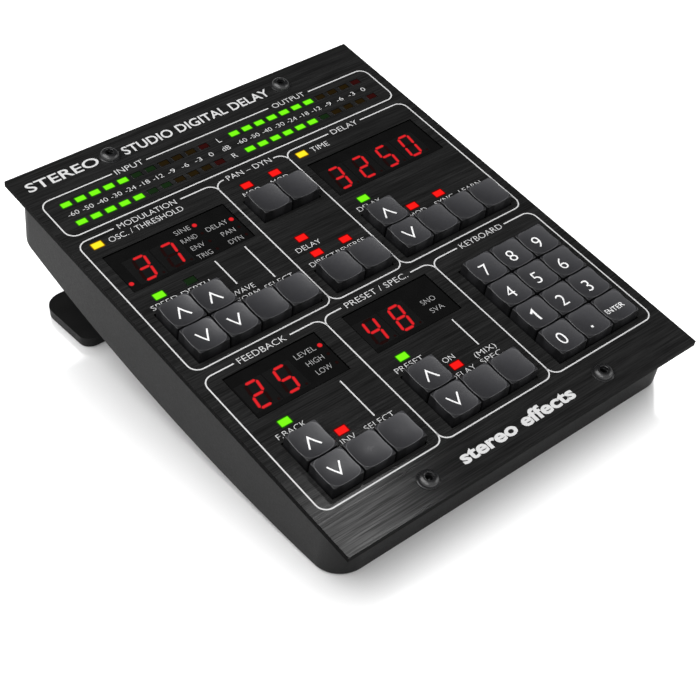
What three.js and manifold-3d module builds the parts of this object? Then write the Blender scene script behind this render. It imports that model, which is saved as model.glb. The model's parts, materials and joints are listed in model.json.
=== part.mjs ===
// Desktop effects controller: a tilted aluminium panel of keys, meters and displays
// on a shallow moulded case with a rear stand.  Millimetres, +Z up, front towards -Y.
// The origin is the middle of the underside, on the desk.
import * as THREE from 'three';
import Module from 'manifold-3d';
import { mergeVertices } from 'three/addons/utils/BufferGeometryUtils.js';

const wasm = await Module();
wasm.setup();

// ---------------------------------------------------------------- driving dimensions
// "Deck" coordinates: x from the panel's left edge, y back from its front edge,
// z out of its top face.  The deck leans back by TILT on the desk.
const TILT = THREE.MathUtils.degToRad(11);
const GAP = 0.3;                              // clearance between pieces that touch
const EXTRA = 1;                              // how far a cutter runs past what it cuts
const OVERLAP = 0.1;                          // how far two joined solids run into each other

// Facets round a full turn of a small round feature.
const COARSE = 8;
const MEDIUM = 12;
const FINE = 16;

const PANEL = { width: 135, depth: 167.5, thickness: 2 };
const CASE = {
  sideInset: 1.6, frontInset: 4.1, rearInset: 2.3,
  cornerRadius: 8.6, wall: 2,
  depth: 18.7,                                // panel top to the bottom of the end walls
  belly: 7.2,                                 // how far the underside bows below them
  bellyFacets: 14, cornerFacets: 5,
};
const FOOT = { radius: 5, lift: 0.6, height: 1.5, bevel: 0.45, x: 48, fromFrontWall: 9 };

const KEY = {
  pitch: 11.1, base: 10.7, top: 10.3, corner: 0.7, rise: 3.8, skirt: 1,
  opening: 11.32,                             // wider than the pitch, so neighbours share one opening
  hollow: 8.1, roof: 1.8, dishRadius: 5.7, dishDepth: 0.8, dishRings: 2,
};
const STEM = { width: 3.4, reach: 6.6 };      // below the panel's top face
const SWITCH = { width: 7.6, height: 4.4, bore: 4, floor: 0.4 };
const PCB = { top: -9.4, thickness: 1.6, margin: 5.5, front: 12.5, back: 155 };
// Chips on the board's underside.
const CHIPS = [
  { width: 14, depth: 14, height: 1.4, x: 67.5, y: 60 },
  { width: 8, depth: 6, height: 1.6, x: 92, y: 110 },
  { width: 5, depth: 11, height: 1.2, x: 45, y: 112 },
];

const LED = { width: 3.6, depth: 2.4, recess: 0.12, clearance: 0.2 };
const METER = {
  columns: 11, pitch: 5.12, inputX: 10.2, outputX: 73.5,
  rowY: [140, 148.8], width: 3.3, depth: 2, strip: 1.2, stripMargin: 1.6,
};
const WINDOW = { depth: 16.9, recess: 0.25, plug: 1.5, flange: 1.2, flangeMargin: 1.6 };
const DISPLAY = { depth: 14, height: 5.2 };

const SCREW = {
  inX: 33.5, inY: 7, headRadius: 3.45, headHeight: 1.9, headFlat: 1.65, headSteps: 4,
  seat: 0.05, rim: 0.35, socket: 1.44, socketDepth: 1.1,
  shankRadius: 1.5, shankLength: 10, panelHole: 1.9, bossRadius: 3.6, bossHole: 1.8,
};
const POST = {
  radius: 2.6, pinRadius: 1.2, pinLength: 1.4, hole: 1.6, inX: 20, inY: 27,
  keypadShift: 42,                            // the front right post stands behind the keypad
};
const STAND = {
  width: 127.6, depth: 27.5, y: 134, height: 3.6, lift: 0.4,
  frontCorner: 4, rearCorner: 7, cornerFacets: 4,
  legWidth: 16, legX: 38, legFront: 6, legDepth: 15, web: 3,
  reach: 40,                                  // legs start this tall and are trimmed to the case
  slack: 0.05,
};
const STAND_SCREW = {
  radius: 1.3, hole: 1.6, headRadius: 2.7, headHeight: 1.8, counterbore: 3.1,
  slotWidth: 0.8, slotDepth: 0.9,
  y: 147, top: 26, bossRadius: 4, bossTop: -13,
};
const PAD = {
  inset: 3, thickness: 1.1, holeRadius: 4, frontCorner: 2, rearCorner: 4, cornerFacets: 3,
};
const USB = {
  width: 7.6, height: 2.7, depth: 5.6, wall: 0.45, backWall: 0.9, recess: 0.2, x: 67.5, z: -8,
  tongueWidth: 4.9, tongueDepth: 3.4, tongueHeight: 0.7, tongueLift: 0.1, tongueBack: 0.8,
};

const NARROW_WINDOW = 32.8;
const WIDE_WINDOW = 44;

// Each key is [name, column, row, has an indicator one pitch behind it].
const SECTIONS = [
  { name: 'modulation', x: 12.2, y: 80, keys: [
    ['speed_up', 0, 1, true], ['speed_down', 0, 0], ['depth_up', 1, 1, true],
    ['depth_down', 1, 0], ['waveform', 2, 0], ['select', 3, 0]] },
  { name: 'pan_dyn', x: 62.1, y: 115.5, keys: [['pan_mod', 0, 0, true], ['dyn_mod', 1, 0, true]] },
  { name: 'output', x: 62.1, y: 80, keys: [['direct', 0, 0, true], ['reverse', 1, 0, true]] },
  { name: 'delay', x: 89.7, y: 80, keys: [
    ['up', 0, 1, true], ['down', 0, 0], ['mod', 1, 0, true], ['sync', 2, 0, true],
    ['learn', 3, 0]] },
  { name: 'feedback', x: 13.75, y: 22.3, keys: [
    ['up', 0, 1, true], ['down', 0, 0], ['invert', 1, 0, true], ['select', 2, 0]] },
  { name: 'preset', x: 56.5, y: 22.3, keys: [
    ['up', 0, 1, true], ['down', 0, 0], ['delay_on', 1, 0, true], ['special', 2, 0]] },
  { name: 'keyboard', x: 99.1, y: 22.3, keys: [
    ['zero', 0, 0], ['point', 1, 0], ['enter', 2, 0],
    ['one', 0, 1], ['two', 1, 1], ['three', 2, 1],
    ['four', 0, 2], ['five', 1, 2], ['six', 2, 2],
    ['seven', 0, 3], ['eight', 1, 3], ['nine', 2, 3]] },
];
// Indicators that stand apart from a key.
const LONE_LEDS = [[8.6, 129.1], [86.1, 129.1], [62.1, 98.7]];

const WINDOWS = [
  { name: 'modulation', x: 28.8, y: 115.5, width: WIDE_WINDOW, digits: 2, digitX: -8.9 },
  { name: 'delay', x: 106.2, y: 115.5, width: WIDE_WINDOW, digits: 4, digitX: 0 },
  { name: 'feedback', x: 24.8, y: 57.8, width: NARROW_WINDOW, digits: 2, digitX: -3.6 },
  { name: 'preset', x: 67.8, y: 57.8, width: NARROW_WINDOW, digits: 2, digitX: -3.6 },
];
const DIGIT_PITCH = 9.8;

// ---------------------------------------------------------------- deck placement
const CASE_BACK = PANEL.depth - CASE.rearInset;
const FRONT_EDGE = new THREE.Vector3(0, CASE.frontInset, -CASE.depth);
const deckTurn = new THREE.Matrix4().makeRotationX(TILT);
const drop = FRONT_EDGE.clone().applyMatrix4(deckTurn).z;
const caseHeel = new THREE.Vector3(0, CASE_BACK, -CASE.depth).applyMatrix4(deckTurn).y;
const deckMatrix = new THREE.Matrix4()
  .makeTranslation(-PANEL.width / 2, -caseHeel / 2, FOOT.lift - drop)
  .multiply(deckTurn);
const deckInverse = deckMatrix.clone().invert();
const DESK_Y = caseHeel / 2;                  // world y = distance behind the panel's edge - DESK_Y

// ---------------------------------------------------------------- small helpers
function solid(geometry) {
  const bare = geometry.clone();
  bare.deleteAttribute('normal');
  bare.deleteAttribute('uv');
  const merged = mergeVertices(bare, 1e-5);
  return new wasm.Manifold(new wasm.Mesh({
    numProp: 3,
    vertProperties: Float32Array.from(merged.attributes.position.array),
    triVerts: Uint32Array.from(merged.index.array),
  }));
}

function join(first, ...rest) {
  return rest.reduce((sum, each) => sum.add(each), first);
}

function cut(body, ...tools) {
  return tools.reduce((left, each) => left.subtract(each), body);
}

function box(width, depth, z0, z1, x = 0, y = 0) {
  const geometry = new THREE.BoxGeometry(width, depth, z1 - z0);
  geometry.translate(x, y, (z0 + z1) / 2);
  return geometry;
}

function disc(radius, z0, z1, x = 0, y = 0, sides = FINE) {
  const geometry = new THREE.CylinderGeometry(radius, radius, z1 - z0, sides);
  geometry.rotateX(Math.PI / 2);
  geometry.translate(x, y, (z0 + z1) / 2);
  return geometry;
}

function roundedRect(x0, y0, x1, y1, frontRadius, rearRadius = frontRadius) {
  const shape = new THREE.Shape();
  const quarter = Math.PI / 2;
  shape.absarc(x1 - frontRadius, y0 + frontRadius, frontRadius, -quarter, 0);
  shape.absarc(x1 - rearRadius, y1 - rearRadius, rearRadius, 0, quarter);
  shape.absarc(x0 + rearRadius, y1 - rearRadius, rearRadius, quarter, 2 * quarter);
  shape.absarc(x0 + frontRadius, y0 + frontRadius, frontRadius, 2 * quarter, 3 * quarter);
  return shape;
}

function prism(shape, z0, z1, curveSegments = 6) {
  const geometry = new THREE.ExtrudeGeometry(shape, {
    depth: z1 - z0, bevelEnabled: false, curveSegments,
  });
  geometry.translate(0, 0, z0);
  return geometry;
}

// ---------------------------------------------------------------- assembly bookkeeping
const device = new THREE.Group();
const deck = new THREE.Group();
deck.matrixAutoUpdate = false;
deck.matrix.copy(deckMatrix);
device.add(deck);

const LOOKS = {
  anodised: { color: 0x232324, roughness: 0.42, metalness: 0.8 },
  moulded: { color: 0x3e3e40, roughness: 0.6, metalness: 0 },
  keycap: { color: 0x3a3a3d, roughness: 0.45, metalness: 0 },
  blackSteel: { color: 0x1a1a1c, roughness: 0.35, metalness: 0.7 },
  smoked: { color: 0x0c0c0d, roughness: 0.12, metalness: 0 },
  display: { color: 0x2a2a2c, roughness: 0.5, metalness: 0 },
  board: { color: 0x1d3a25, roughness: 0.55, metalness: 0 },
  lightGuide: { color: 0x7dff1e, roughness: 0.3, metalness: 0 },
  plated: { color: 0xb8b8ba, roughness: 0.3, metalness: 1 },
  rubber: { color: 0x151515, roughness: 0.85, metalness: 0 },
};

function piece(parent, name, look, body) {
  const mesh = body.getMesh();
  const geometry = new THREE.BufferGeometry();
  geometry.setAttribute('position', new THREE.BufferAttribute(mesh.vertProperties, 3));
  geometry.setIndex(new THREE.BufferAttribute(mesh.triVerts, 1));
  const node = new THREE.Mesh(geometry, new THREE.MeshStandardMaterial(LOOKS[look]));
  node.name = name;
  parent.add(node);
  return node;
}

// ---------------------------------------------------------------- positions shared by pieces
function keysOf(section) {
  return section.keys.map(([name, column, row, lit]) => ({
    name: `key_${section.name}_${name}`,
    x: section.x + column * KEY.pitch,
    y: section.y + row * KEY.pitch,
    lit: Boolean(lit),
  }));
}
const KEYS = SECTIONS.flatMap(keysOf);
const INDICATORS = [
  ...KEYS.filter((key) => key.lit).map((key) => [key.x, key.y + KEY.pitch]),
  ...LONE_LEDS,
];

const SCREW_PLACES = [
  ['front_left', SCREW.inX, SCREW.inY],
  ['front_right', PANEL.width - SCREW.inX, SCREW.inY],
  ['rear_left', SCREW.inX, PANEL.depth - SCREW.inY],
  ['rear_right', PANEL.width - SCREW.inX, PANEL.depth - SCREW.inY],
];
const POST_PLACES = [
  [POST.inX, POST.inY],
  [PANEL.width - POST.inX, POST.inY + POST.keypadShift],
  [POST.inX, PANEL.depth - POST.inY],
  [PANEL.width - POST.inX, PANEL.depth - POST.inY],
];

function meterPlaces(startX) {
  const places = [];
  for (const y of METER.rowY) {
    for (let i = 0; i < METER.columns; i += 1) places.push([startX + i * METER.pitch, y]);
  }
  return places;
}

// ---------------------------------------------------------------- case volume
// The plan is a rounded rectangle; the underside is one arc from the front wall to the rear.
function bellyArc(offset) {
  const halfChord = (CASE_BACK - CASE.frontInset) / 2;
  const radius = (halfChord ** 2 + CASE.belly ** 2) / (2 * CASE.belly);
  const middleY = CASE.frontInset + halfChord;
  const middleZ = -CASE.depth - CASE.belly + radius;
  const reach = Math.asin((halfChord + EXTRA) / radius);
  const side = new THREE.Shape();
  side.absarc(middleY, middleZ, radius - offset, -Math.PI / 2 - reach, -Math.PI / 2 + reach);
  side.lineTo(CASE_BACK + EXTRA, 0);
  side.lineTo(CASE.frontInset - EXTRA, 0);
  return side;
}

function caseVolume(offset, top) {
  const alongX = new THREE.Matrix4().makeBasis(
    new THREE.Vector3(0, 1, 0), new THREE.Vector3(0, 0, 1), new THREE.Vector3(1, 0, 0));
  const side = prism(bellyArc(offset), 0, PANEL.width, CASE.bellyFacets).applyMatrix4(alongX);
  const plan = roundedRect(
    CASE.sideInset + offset, CASE.frontInset + offset,
    PANEL.width - CASE.sideInset - offset, CASE_BACK - offset, CASE.cornerRadius - offset);
  const lowest = -CASE.depth - CASE.belly - EXTRA;
  return solid(prism(plan, lowest, top, CASE.cornerFacets)).intersect(solid(side));
}

// ---------------------------------------------------------------- front panel
function frontPanel() {
  const { width, depth, thickness } = PANEL;
  const low = -thickness - EXTRA;
  let plate = solid(box(width, depth, -thickness, 0, width / 2, depth / 2));
  const hole = KEY.opening;
  for (const key of KEYS) {
    plate = cut(plate, solid(box(hole, hole, low, EXTRA, key.x, key.y)));
  }
  for (const { x, y, width: across } of WINDOWS) {
    plate = cut(plate, solid(box(across, WINDOW.depth, low, EXTRA, x, y)));
  }
  const slack = 2 * LED.clearance;
  for (const [x, y] of INDICATORS) {
    plate = cut(plate, solid(box(LED.width + slack, LED.depth + slack, low, EXTRA, x, y)));
  }
  for (const [x, y] of [...meterPlaces(METER.inputX), ...meterPlaces(METER.outputX)]) {
    plate = cut(plate, solid(box(METER.width + slack, METER.depth + slack, low, EXTRA, x, y)));
  }
  for (const [, x, y] of SCREW_PLACES) {
    plate = cut(plate, solid(disc(SCREW.panelHole, low, EXTRA, x, y)));
  }
  return plate;
}

// ---------------------------------------------------------------- lower case
function lowerCase() {
  const rim = -PANEL.thickness - GAP;
  const outside = caseVolume(0, rim);
  let shell = cut(outside, caseVolume(CASE.wall, EXTRA));

  // Bosses for the panel screws, and posts with pins that locate the circuit board.
  const deep = -CASE.depth - CASE.belly;
  const pcbUnder = PCB.top - PCB.thickness - GAP;
  const inside = [];
  for (const [, x, y] of SCREW_PLACES) {
    inside.push(solid(disc(SCREW.bossRadius, deep, rim, x, y, MEDIUM)));
  }
  for (const [x, y] of POST_PLACES) {
    const pinTop = pcbUnder + POST.pinLength;
    inside.push(solid(disc(POST.radius, deep, pcbUnder, x, y, COARSE)));
    inside.push(solid(disc(POST.pinRadius, pcbUnder - EXTRA, pinTop, x, y, COARSE)));
  }
  const belowBosses = solid(box(
    PANEL.width, PANEL.depth, 2 * deep, STAND_SCREW.bossTop, PANEL.width / 2, PANEL.depth / 2));
  for (const x of [-STAND.legX, STAND.legX]) {
    const boss = disc(
      STAND_SCREW.bossRadius, 0, STAND.reach, x, STAND_SCREW.y - DESK_Y, MEDIUM);
    inside.push(solid(boss.applyMatrix4(deckInverse)).intersect(belowBosses));
  }
  for (const each of inside) shell = join(shell, each.intersect(outside));

  for (const [, x, y] of SCREW_PLACES) {
    const floor = rim - SCREW.shankLength;
    shell = cut(shell, solid(disc(SCREW.bossHole, floor, EXTRA, x, y, COARSE)));
  }
  for (const x of [-STAND.legX, STAND.legX]) {
    const bore = disc(
      STAND_SCREW.hole, 0, STAND_SCREW.top + GAP, x, STAND_SCREW.y - DESK_Y, MEDIUM);
    shell = cut(shell, solid(bore.applyMatrix4(deckInverse)));
  }
  for (const x of [-FOOT.x, FOOT.x]) {
    const roof = FOOT.height + GAP;
    const pocket = disc(FOOT.radius + GAP, -EXTRA, roof, x, footY());
    shell = cut(shell, solid(pocket.applyMatrix4(deckInverse)));
  }
  const halfPort = USB.height / 2 + GAP;
  const port = box(
    USB.width + 2 * GAP, 2 * USB.depth, USB.z - halfPort, USB.z + halfPort, USB.x, CASE_BACK);
  return cut(shell, solid(port));
}

function footY() {
  return FRONT_EDGE.clone().applyMatrix4(deckMatrix).y + FOOT.fromFrontWall;
}

// ---------------------------------------------------------------- keys
// A flared cap with a round dish in its top, hollow below, and a square stem that
// runs down into the switch under it.
function keyCap() {
  const base = KEY.base / 2;
  const top = KEY.top / 2;
  const block = prism(roundedRect(-base, -base, base, base, KEY.corner), -KEY.skirt, KEY.rise, 1);
  const at = block.attributes.position;
  for (let i = 0; i < at.count; i += 1) {
    if (at.getZ(i) > 0) {
      at.setXY(i, at.getX(i) * top / base, at.getY(i) * top / base);
    }
  }
  const bowl = KEY.dishRadius ** 2 / (2 * KEY.dishDepth) + KEY.dishDepth / 2;
  const lowest = KEY.rise - KEY.dishDepth;
  const profile = [new THREE.Vector2(0, lowest)];
  for (let i = 1; i <= KEY.dishRings; i += 1) {
    const r = (KEY.dishRadius + EXTRA) * i / KEY.dishRings;
    profile.push(new THREE.Vector2(r, lowest + bowl - Math.sqrt(bowl ** 2 - r ** 2)));
  }
  profile.push(new THREE.Vector2(0, KEY.rise + 2 * EXTRA));
  const dish = new THREE.LatheGeometry(profile, COARSE);
  dish.rotateX(Math.PI / 2);
  const hollow = box(KEY.hollow, KEY.hollow, -KEY.skirt - EXTRA, KEY.roof);
  const stem = box(STEM.width, STEM.width, -STEM.reach, KEY.roof + OVERLAP);
  return join(cut(solid(block), solid(dish), solid(hollow)), solid(stem));
}

// ---------------------------------------------------------------- windows and displays
function windowLens(width) {
  const top = -WINDOW.recess;
  const under = -PANEL.thickness - GAP;
  const plug = box(width - 2 * GAP, WINDOW.depth - 2 * GAP, under - EXTRA, top);
  const flange = box(width + 2 * WINDOW.flangeMargin, WINDOW.depth + 2 * WINDOW.flangeMargin,
    under - WINDOW.flange, under);
  return join(solid(flange), solid(plug));
}

function displayModule(digits) {
  const base = PCB.top + GAP;
  return solid(box(digits * DIGIT_PITCH, DISPLAY.depth, base, base + DISPLAY.height));
}

// ---------------------------------------------------------------- circuit board
// The board carries a switch under every key, the indicator lamps and the main chips.
function circuitBoard() {
  const { top, thickness, margin, front, back } = PCB;
  const width = PANEL.width - 2 * margin;
  let board = solid(box(
    width, back - front, top - thickness, top, PANEL.width / 2, (front + back) / 2));
  for (const { x, y } of KEYS) {
    const body = box(SWITCH.width, SWITCH.width, top - OVERLAP, top + SWITCH.height, x, y);
    board = join(board, solid(body));
  }
  for (const { x, y } of KEYS) {
    const bore = box(
      SWITCH.bore, SWITCH.bore, top + SWITCH.floor, top + SWITCH.height + EXTRA, x, y);
    board = cut(board, solid(bore));
  }
  for (const [x, y] of INDICATORS) {
    board = join(board, solid(box(LED.width, LED.depth, top - OVERLAP, -LED.recess, x, y)));
  }
  const under = top - thickness;
  for (const chip of CHIPS) {
    const body = box(
      chip.width, chip.depth, under - chip.height, under + OVERLAP, chip.x, chip.y);
    board = join(board, solid(body));
  }
  for (const [x, y] of POST_PLACES) {
    board = cut(board, solid(disc(POST.hole, under - EXTRA, top + EXTRA, x, y, MEDIUM)));
  }
  return board;
}

function meterGuide(startX) {
  const under = -PANEL.thickness - GAP;
  const length = (METER.columns - 1) * METER.pitch + METER.width + 2 * METER.stripMargin;
  const [rowA, rowB] = METER.rowY;
  const span = rowB - rowA + METER.depth + 2 * METER.stripMargin;
  const middleX = startX + (METER.columns - 1) * METER.pitch / 2;
  let guide = solid(box(length, span, under - METER.strip, under, middleX, (rowA + rowB) / 2));
  for (const [x, y] of meterPlaces(startX)) {
    const lens = box(METER.width, METER.depth, under - OVERLAP, -LED.recess, x, y);
    guide = join(guide, solid(lens));
  }
  return guide;
}

// ---------------------------------------------------------------- socket, screws, stand, feet
function usbSocket() {
  const { width, depth, wall, x, z } = USB;
  const half = USB.height / 2;
  const y = CASE_BACK - USB.recess - depth / 2;
  const shell = box(width, depth, z - half, z + half, x, y);
  const mouth = box(
    width - 2 * wall, depth, z - half + wall, z + half - wall, x, y + USB.backWall);
  const under = z + USB.tongueLift;
  const tongue = box(
    USB.tongueWidth, USB.tongueDepth, under, under + USB.tongueHeight, x, y - USB.tongueBack);
  return join(cut(solid(shell), solid(mouth)), solid(tongue));
}

function panelScrew() {
  const { headRadius, headHeight, headFlat, headSteps, shankRadius, seat, rim } = SCREW;
  const tip = GAP - SCREW.shankLength;
  const profile = [[0, tip], [shankRadius, tip], [shankRadius, seat], [headRadius, seat]];
  for (let i = 1; i <= headSteps; i += 1) {
    const turn = (Math.PI / 2) * (i / headSteps);
    const r = headFlat + (headRadius - headFlat) * Math.cos(turn);
    profile.push([r, rim + (headHeight - rim) * Math.sin(turn)]);
  }
  profile.push([0, headHeight]);
  const body = new THREE.LatheGeometry(profile.map(([r, z]) => new THREE.Vector2(r, z)), FINE);
  body.rotateX(Math.PI / 2);
  const socketFloor = headHeight - SCREW.socketDepth;
  const hexagon = 6;
  const socket = disc(SCREW.socket, socketFloor, headHeight + EXTRA, 0, 0, hexagon);
  return cut(solid(body), solid(socket));
}

// The stand is built where it stands on the desk, then its legs are trimmed to the case.
function rearStand() {
  const { width, depth, height, lift, legWidth, legX, legDepth, reach } = STAND;
  const y = STAND.y - DESK_Y;
  const legY = y + STAND.legFront + legDepth / 2;
  const base = height - OVERLAP;
  const outline = roundedRect(
    -width / 2, y, width / 2, y + depth, STAND.frontCorner, STAND.rearCorner);
  let stand = solid(prism(outline, lift, height, STAND.cornerFacets));
  const keepOut = solid(deckVolume(GAP));
  for (const side of [-1, 1]) {
    const leg = box(legWidth, legDepth, base, reach, side * legX, legY);
    stand = join(stand, cut(solid(leg), keepOut));
  }
  const web = box(2 * legX, STAND.web, base, reach, 0, legY);
  stand = join(stand, cut(solid(web), keepOut));
  const padTop = PAD.thickness + GAP;
  stand = cut(stand, solid(prism(padOutline(PAD.inset), 0, padTop, PAD.cornerFacets)));
  const boreTop = padTop + STAND_SCREW.headHeight + GAP;
  for (const side of [-1, 1]) {
    const at = [side * legX, STAND_SCREW.y - DESK_Y];
    stand = cut(
      stand,
      solid(disc(STAND_SCREW.hole, 0, reach, ...at, MEDIUM)),
      solid(disc(STAND_SCREW.counterbore, 0, boreTop, ...at)),
    );
  }
  return stand;
}

// The case's outside, grown downwards by a clearance, in desk coordinates.
function deckVolume(clearance) {
  const body = caseVolume(0, 0).getMesh();
  const geometry = new THREE.BufferGeometry();
  geometry.setAttribute('position', new THREE.BufferAttribute(body.vertProperties, 3));
  geometry.setIndex(new THREE.BufferAttribute(body.triVerts, 1));
  geometry.applyMatrix4(deckMatrix);
  geometry.translate(0, 0, -clearance / Math.cos(TILT) - STAND.slack);
  return geometry;
}

function padOutline(inset) {
  const y = STAND.y - DESK_Y;
  const halfWidth = STAND.width / 2 - inset;
  return roundedRect(
    -halfWidth, y + inset, halfWidth, y + STAND.depth - inset, PAD.frontCorner, PAD.rearCorner);
}

function standPad() {
  const outline = padOutline(PAD.inset + GAP);
  let pad = solid(prism(outline, 0, PAD.thickness, PAD.cornerFacets));
  for (const side of [-1, 1]) {
    const at = [side * STAND.legX, STAND_SCREW.y - DESK_Y];
    pad = cut(pad, solid(disc(PAD.holeRadius, -EXTRA, PAD.thickness + EXTRA, ...at)));
  }
  return pad;
}

function standScrew() {
  const seat = PAD.thickness + GAP + STAND_SCREW.headHeight;
  const under = seat - STAND_SCREW.headHeight;
  const head = disc(STAND_SCREW.headRadius, under, seat);
  const shank = disc(STAND_SCREW.radius, seat - OVERLAP, STAND_SCREW.top, 0, 0, MEDIUM);
  const slotLength = 2 * STAND_SCREW.headRadius + EXTRA;
  const slot = box(STAND_SCREW.slotWidth, slotLength, 0, under + STAND_SCREW.slotDepth);
  return cut(join(solid(head), solid(shank)), solid(slot));
}

function frontFoot() {
  const { radius, height, bevel } = FOOT;
  const profile = [[0, 0], [radius - bevel, 0], [radius, bevel], [radius, height], [0, height]];
  const foot = new THREE.LatheGeometry(profile.map(([r, z]) => new THREE.Vector2(r, z)), FINE);
  foot.rotateX(Math.PI / 2);
  return solid(foot);
}

// ---------------------------------------------------------------- build
piece(deck, 'front_panel', 'anodised', frontPanel());
piece(deck, 'lower_case', 'moulded', lowerCase());
piece(deck, 'circuit_board', 'board', circuitBoard());
piece(deck, 'input_meter_guide', 'lightGuide', meterGuide(METER.inputX));
piece(deck, 'output_meter_guide', 'lightGuide', meterGuide(METER.outputX));
piece(deck, 'usb_socket', 'plated', usbSocket());

for (const { name, x, y, width, digits, digitX } of WINDOWS) {
  piece(deck, `window_${name}`, 'smoked', windowLens(width)).position.set(x, y, 0);
  piece(deck, `display_${name}`, 'display', displayModule(digits)).position.set(x + digitX, y, 0);
}
for (const [where, x, y] of SCREW_PLACES) {
  piece(deck, `panel_screw_${where}`, 'blackSteel', panelScrew()).position.set(x, y, 0);
}
for (const { name, x, y } of KEYS) {
  piece(deck, name, 'keycap', keyCap()).position.set(x, y, 0);
}

piece(device, 'rear_stand', 'moulded', rearStand());
piece(device, 'stand_pad', 'rubber', standPad());
for (const [where, side] of [['left', -1], ['right', 1]]) {
  const screw = piece(device, `stand_screw_${where}`, 'blackSteel', standScrew());
  screw.position.set(side * STAND.legX, STAND_SCREW.y - DESK_Y, 0);
  const foot = piece(device, `front_foot_${where}`, 'rubber', frontFoot());
  foot.position.set(side * FOOT.x, footY(), 0);
}

export default device;
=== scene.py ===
"""Looks of the desktop effects controller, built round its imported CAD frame.

"Deck" coordinates are millimetres on the front panel: x from its left edge, y back from
its front edge, z out of its top face.  DECK turns them into the row frame, in metres.
"""

import json
import math

import bmesh
import bpy
from mathutils import Matrix, Vector


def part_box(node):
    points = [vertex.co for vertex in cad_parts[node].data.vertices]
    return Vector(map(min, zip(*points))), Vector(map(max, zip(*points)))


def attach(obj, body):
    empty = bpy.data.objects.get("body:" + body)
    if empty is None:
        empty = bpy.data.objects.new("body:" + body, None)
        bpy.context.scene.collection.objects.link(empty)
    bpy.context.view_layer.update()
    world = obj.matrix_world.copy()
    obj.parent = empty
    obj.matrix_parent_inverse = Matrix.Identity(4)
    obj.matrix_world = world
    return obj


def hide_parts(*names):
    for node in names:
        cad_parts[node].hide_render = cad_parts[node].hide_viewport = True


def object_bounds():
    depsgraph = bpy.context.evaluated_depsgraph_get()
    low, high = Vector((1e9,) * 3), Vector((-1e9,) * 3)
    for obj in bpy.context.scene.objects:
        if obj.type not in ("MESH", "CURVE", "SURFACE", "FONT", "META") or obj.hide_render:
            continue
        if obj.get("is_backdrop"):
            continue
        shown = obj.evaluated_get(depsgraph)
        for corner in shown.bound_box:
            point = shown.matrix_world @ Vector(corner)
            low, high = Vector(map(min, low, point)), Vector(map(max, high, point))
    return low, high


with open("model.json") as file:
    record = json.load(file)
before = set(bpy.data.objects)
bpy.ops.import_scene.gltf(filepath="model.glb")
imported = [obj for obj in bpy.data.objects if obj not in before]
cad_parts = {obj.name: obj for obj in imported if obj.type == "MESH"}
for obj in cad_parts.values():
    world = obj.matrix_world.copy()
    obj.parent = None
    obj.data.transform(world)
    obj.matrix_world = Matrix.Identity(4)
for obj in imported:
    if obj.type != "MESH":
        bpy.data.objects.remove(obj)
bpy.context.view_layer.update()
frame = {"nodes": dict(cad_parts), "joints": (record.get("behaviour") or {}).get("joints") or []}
nodes = frame["nodes"]
scene = bpy.context.scene
MM = 0.001


# ---------------------------------------------------------------- deck placement
def deck_matrix():
    low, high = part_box("front_panel")
    normal = -Vector(frame["joints"][0]["axis"]).normalized()
    right = Vector((1, 0, 0))
    back = normal.cross(right)
    rise, run = high.z - low.z, high.y - low.y
    depth = (run * back.y - rise * back.z) / (back.y**2 - back.z**2)
    origin = Vector((low.x, low.y, high.z - depth * back.z))
    turn = Matrix((right, back, normal)).transposed().to_4x4()
    return Matrix.Translation(origin) @ turn @ Matrix.Scale(MM, 4)


DECK = deck_matrix()
DECK_INVERSE = DECK.inverted()


def deck_box(node):
    """Lowest and highest deck coordinates of a CAD node."""
    places = [DECK_INVERSE @ v.co for v in nodes[node].data.vertices]
    low = Vector([min(p[i] for p in places) for i in range(3)])
    high = Vector([max(p[i] for p in places) for i in range(3)])
    return low, high


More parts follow.
